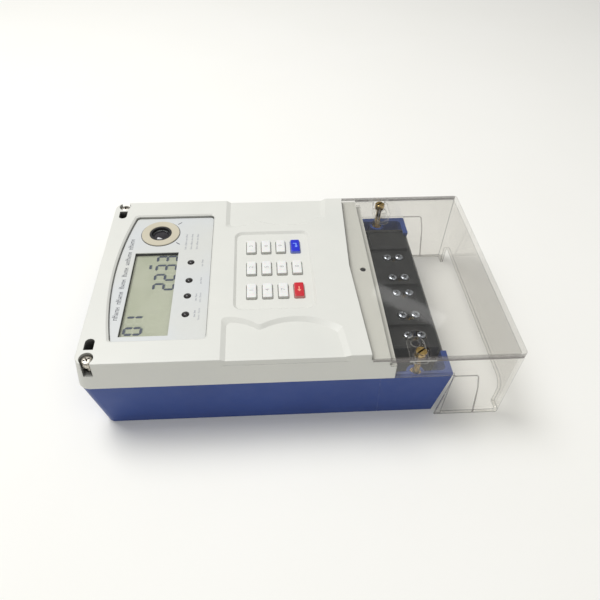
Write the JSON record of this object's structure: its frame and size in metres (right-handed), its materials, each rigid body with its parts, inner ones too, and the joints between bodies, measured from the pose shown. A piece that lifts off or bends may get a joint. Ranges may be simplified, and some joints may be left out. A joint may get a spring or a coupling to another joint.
{
  "type": "prepaid electricity meter",
  "caption": "Prepaid electricity meter with display, optical port, keypad and a clear lift-off cover over its screw terminals.",
  "frame": {"origin": "centre of the bounding box's bottom, in the plane of the meter's back", "axes": "+X along the case from the display end to the terminal end, +Y across the case, +Z out of the front"},
  "size_m": [0.2959, 0.176, 0.0711],
  "materials": {
    "case_blue": "fine-grained blue moulding",
    "case_grey": "fine-grained warm light grey moulding",
    "seal_rubber": "matt black",
    "zinc_steel": "bright zinc plate",
    "ring_steel": "pale yellow passivated zinc plate",
    "printed_panel": "glossy printed polycarbonate sheet",
    "clear_plastic": "clear polycarbonate",
    "lcd_cell": "reflective grey-green liquid-crystal cell",
    "diffuser": "milky light guide",
    "black_plastic": "black moulding",
    "white_plastic": "natural nylon",
    "smoked_lens": "smoked infrared window",
    "diode_resin": "tinted resin",
    "lamp_resin": "dark tinted lamp, unlit",
    "circuit_board": "green solder mask",
    "grey_cable": "grey ribbon",
    "ferrite": "ferrite, sintered grey-black",
    "coil_tape": "yellow winding tape",
    "capacitor_sleeve": "dark blue sleeve",
    "battery_sleeve": "green sleeve",
    "varistor_blue": "blue dipped coating",
    "relay_case": "dark relay housing",
    "copper": "bare copper",
    "terminal_black": "black glass-filled moulding",
    "brass": "turned brass",
    "key_white": "off-white key cap",
    "key_blue": "bright blue key cap",
    "key_red": "bright red key cap"
  },
  "bodies": {
    "case": {"backup_battery": "battery_sleeve", "base": "case_blue", "battery_clips": "zinc_steel", "bracket_screws": "zinc_steel", "busbars": "copper", "buzzer": "black_plastic", "capacitors": "capacitor_sleeve", "cover_gasket": "seal_rubber", "cover_screws": "zinc_steel", "current_transformers": "relay_case", "display_pcb": "circuit_board", "display_pcb_screws": "zinc_steel", "display_window": "clear_plastic", "hanging_bracket": "zinc_steel", "infrared_diodes": "diode_resin", "key_switches": "black_plastic", "lcd_backlight": "diffuser", "lcd_frame": "black_plastic", "lcd_glass": "lcd_cell", "load_switch": "relay_case", "main_pcb": "circuit_board", "main_pcb_screws": "zinc_steel", "meter_chips": "black_plastic", "nameplate": "printed_panel", "optical_port_barrel": "black_plastic", "optical_port_lens": "smoked_lens", "optical_port_ring": "ring_steel", "ribbon_cable": "grey_cable", "ribbon_connectors": "white_plastic", "seal_inserts": "brass", "status_leds": "lamp_resin", "supercapacitor": "capacitor_sleeve", "tamper_switch": "black_plastic", "terminal_block": "terminal_black", "terminal_clamps": "brass", "terminal_screws": "zinc_steel", "top_cover": "case_grey", "transformer_core": "ferrite", "transformer_winding": "coil_tape", "varistors": "varistor_blue", "window_gasket": "seal_rubber"},
    "key_0": {"key_0": "key_white"},
    "key_1": {"key_1": "key_white"},
    "key_2": {"key_2": "key_white"},
    "key_3": {"key_3": "key_white"},
    "key_4": {"key_4": "key_white"},
    "key_5": {"key_5": "key_white"},
    "key_6": {"key_6": "key_white"},
    "key_7": {"key_7": "key_white"},
    "key_8": {"key_8": "key_white"},
    "key_9": {"key_9": "key_white"},
    "key_backspace": {"key_backspace": "key_red"},
    "key_enter": {"key_enter": "key_blue"},
    "tamper_plunger": {"tamper_plunger": "black_plastic"},
    "terminal_cover": {"terminal_cover": "clear_plastic"},
    "seal_screw_near": {"seal_screw_near": "brass"},
    "seal_screw_far": {"seal_screw_far": "brass"}
  },
  "joints": [
    {"name": "key_0_press", "type": "slide", "parent": "case", "child": "key_0", "axis": [0, 0, -1], "range_m": [0, 0.0012], "stiffness_N_per_m": 400},
    {"name": "key_1_press", "type": "slide", "parent": "case", "child": "key_1", "axis": [0, 0, -1], "range_m": [0, 0.0012], "stiffness_N_per_m": 400},
    {"name": "key_2_press", "type": "slide", "parent": "case", "child": "key_2", "axis": [0, 0, -1], "range_m": [0, 0.0012], "stiffness_N_per_m": 400},
    {"name": "key_3_press", "type": "slide", "parent": "case", "child": "key_3", "axis": [0, 0, -1], "range_m": [0, 0.0012], "stiffness_N_per_m": 400},
    {"name": "key_4_press", "type": "slide", "parent": "case", "child": "key_4", "axis": [0, 0, -1], "range_m": [0, 0.0012], "stiffness_N_per_m": 400},
    {"name": "key_5_press", "type": "slide", "parent": "case", "child": "key_5", "axis": [0, 0, -1], "range_m": [0, 0.0012], "stiffness_N_per_m": 400},
    {"name": "key_6_press", "type": "slide", "parent": "case", "child": "key_6", "axis": [0, 0, -1], "range_m": [0, 0.0012], "stiffness_N_per_m": 400},
    {"name": "key_7_press", "type": "slide", "parent": "case", "child": "key_7", "axis": [0, 0, -1], "range_m": [0, 0.0012], "stiffness_N_per_m": 400},
    {"name": "key_8_press", "type": "slide", "parent": "case", "child": "key_8", "axis": [0, 0, -1], "range_m": [0, 0.0012], "stiffness_N_per_m": 400},
    {"name": "key_9_press", "type": "slide", "parent": "case", "child": "key_9", "axis": [0, 0, -1], "range_m": [0, 0.0012], "stiffness_N_per_m": 400},
    {"name": "key_backspace_press", "type": "slide", "parent": "case", "child": "key_backspace", "axis": [0, 0, -1], "range_m": [0, 0.0012], "stiffness_N_per_m": 400},
    {"name": "key_enter_press", "type": "slide", "parent": "case", "child": "key_enter", "axis": [0, 0, -1], "range_m": [0, 0.0012], "stiffness_N_per_m": 400},
    {"name": "tamper_plunger_press", "type": "slide", "parent": "case", "child": "tamper_plunger", "axis": [0, 0, -1], "range_m": [0, 0.0012], "stiffness_N_per_m": 100},
    {"name": "terminal_cover_lift", "type": "slide", "parent": "case", "child": "terminal_cover", "axis": [0, 0, 1], "range_m": [0, 0.085]},
    {"name": "seal_screw_near_turn", "type": "hinge", "parent": "terminal_cover", "child": "seal_screw_near", "pos_m": [0.0793, -0.0808, 0.06], "axis": [0, 0, 1], "continuous": true},
    {"name": "seal_screw_far_turn", "type": "hinge", "parent": "terminal_cover", "child": "seal_screw_far", "pos_m": [0.0793, 0.0808, 0.06], "axis": [0, 0, 1], "continuous": true}
  ]
}
